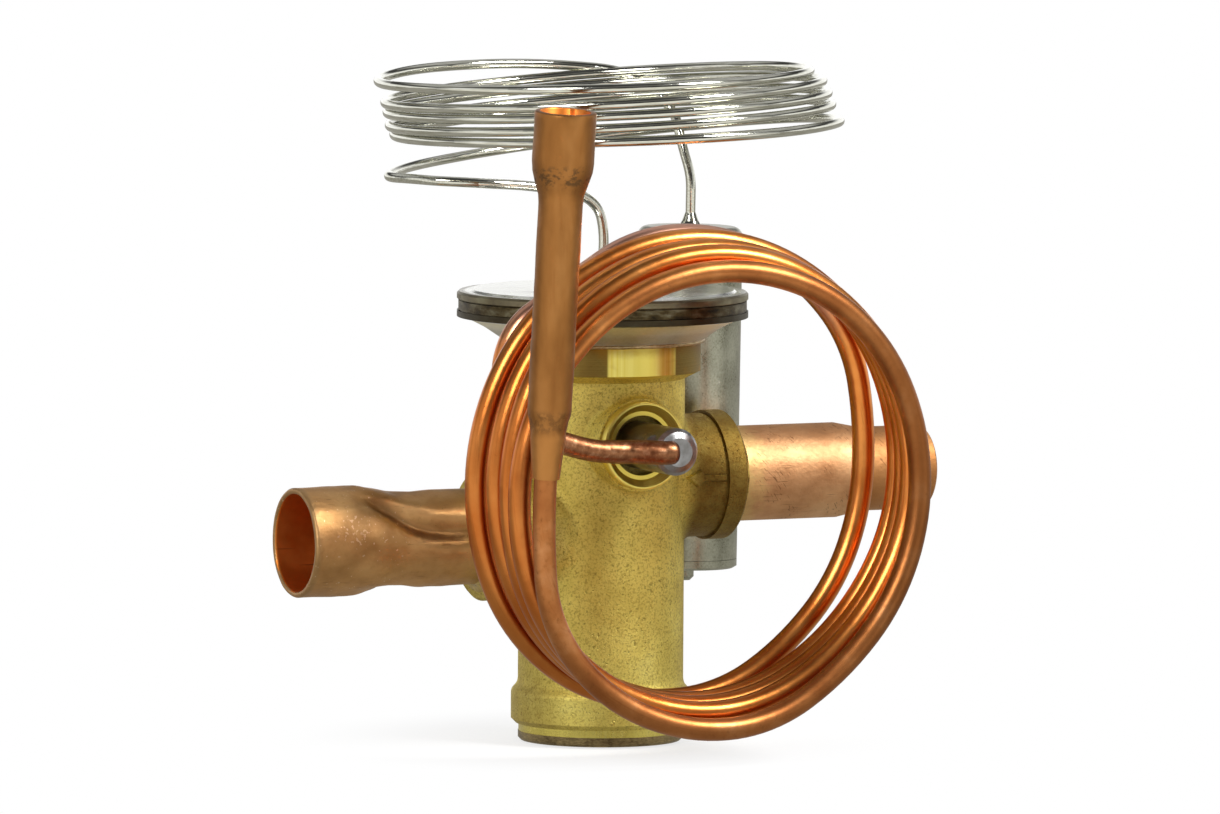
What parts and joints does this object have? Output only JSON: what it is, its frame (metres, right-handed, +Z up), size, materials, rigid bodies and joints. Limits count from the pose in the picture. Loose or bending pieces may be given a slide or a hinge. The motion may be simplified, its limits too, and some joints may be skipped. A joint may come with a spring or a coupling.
{
  "type": "thermostatic expansion valve",
  "caption": "Brass expansion valve with a sheet-metal diaphragm head, a coiled capillary and bulb, copper solder tubes and a coiled copper equalizer line.",
  "frame": {"origin": "centre of the underside of the base disc, on the valve's axis", "axes": "+Z up the valve's axis to the diaphragm head, +X out of the inlet tube, -X out of the outlet tube, -Y to the equalizer side, +Y to the bulb side"},
  "size_m": [0.0911, 0.0764, 0.0891],
  "materials": {
    "brass_body": "grainy forged brass, lightly tarnished",
    "copper_stub": "dull, heat-mottled copper",
    "copper_coil": "bright drawn copper",
    "copper_reducer": "satin copper",
    "braze_brass": "braze metal, satin",
    "braze_silver": "silver braze, satin",
    "steel_head": "dull stainless sheet",
    "steel_tinted": "weld-tinted stainless",
    "steel_bright": "bright stainless tube",
    "steel_bulb": "speckled grey steel",
    "steel_dark": "dark heat-treated steel",
    "steel_inner": "machined steel",
    "seal_plastic": "seal polymer"
  },
  "bodies": {
    "valve": {"base_disc": "steel_dark", "valve_body": "brass_body", "outlet_tube": "copper_stub", "inlet_tube": "copper_stub", "inlet_braze": "braze_brass", "outlet_braze": "braze_brass", "head_housing": "steel_head", "head_ring": "steel_tinted", "diaphragm": "steel_bright", "head_cover": "steel_head", "head_ferrule": "steel_bright", "rod_guide": "brass_body", "rod_seal": "seal_plastic", "seal_washer": "steel_inner", "orifice_seat": "steel_inner", "superheat_spring": "steel_inner", "spring_seat": "brass_body", "bottom_plug": "brass_body", "plug_seal": "seal_plastic", "bulb_shell": "steel_bulb", "bulb_end_cap": "steel_bulb", "bulb_nub": "steel_bulb", "bulb_ferrule": "steel_bright", "capillary_tube": "steel_bright", "equalizer_nipple": "steel_head", "equalizer_braze": "braze_silver", "equalizer_tube": "copper_coil", "equalizer_reducer": "copper_reducer"},
    "needle": {"thrust_pad": "steel_inner", "push_rod": "steel_inner", "valve_cone": "steel_inner", "spring_cup": "brass_body"}
  },
  "joints": [
    {"name": "valve_stroke", "type": "slide", "parent": "valve", "child": "needle", "axis": [0, 0, -1], "range_m": [0, 0.0007], "stiffness_N_per_m": 4000, "springref_m": -0.001, "deforming": ["superheat_spring", "diaphragm"]}
  ]
}
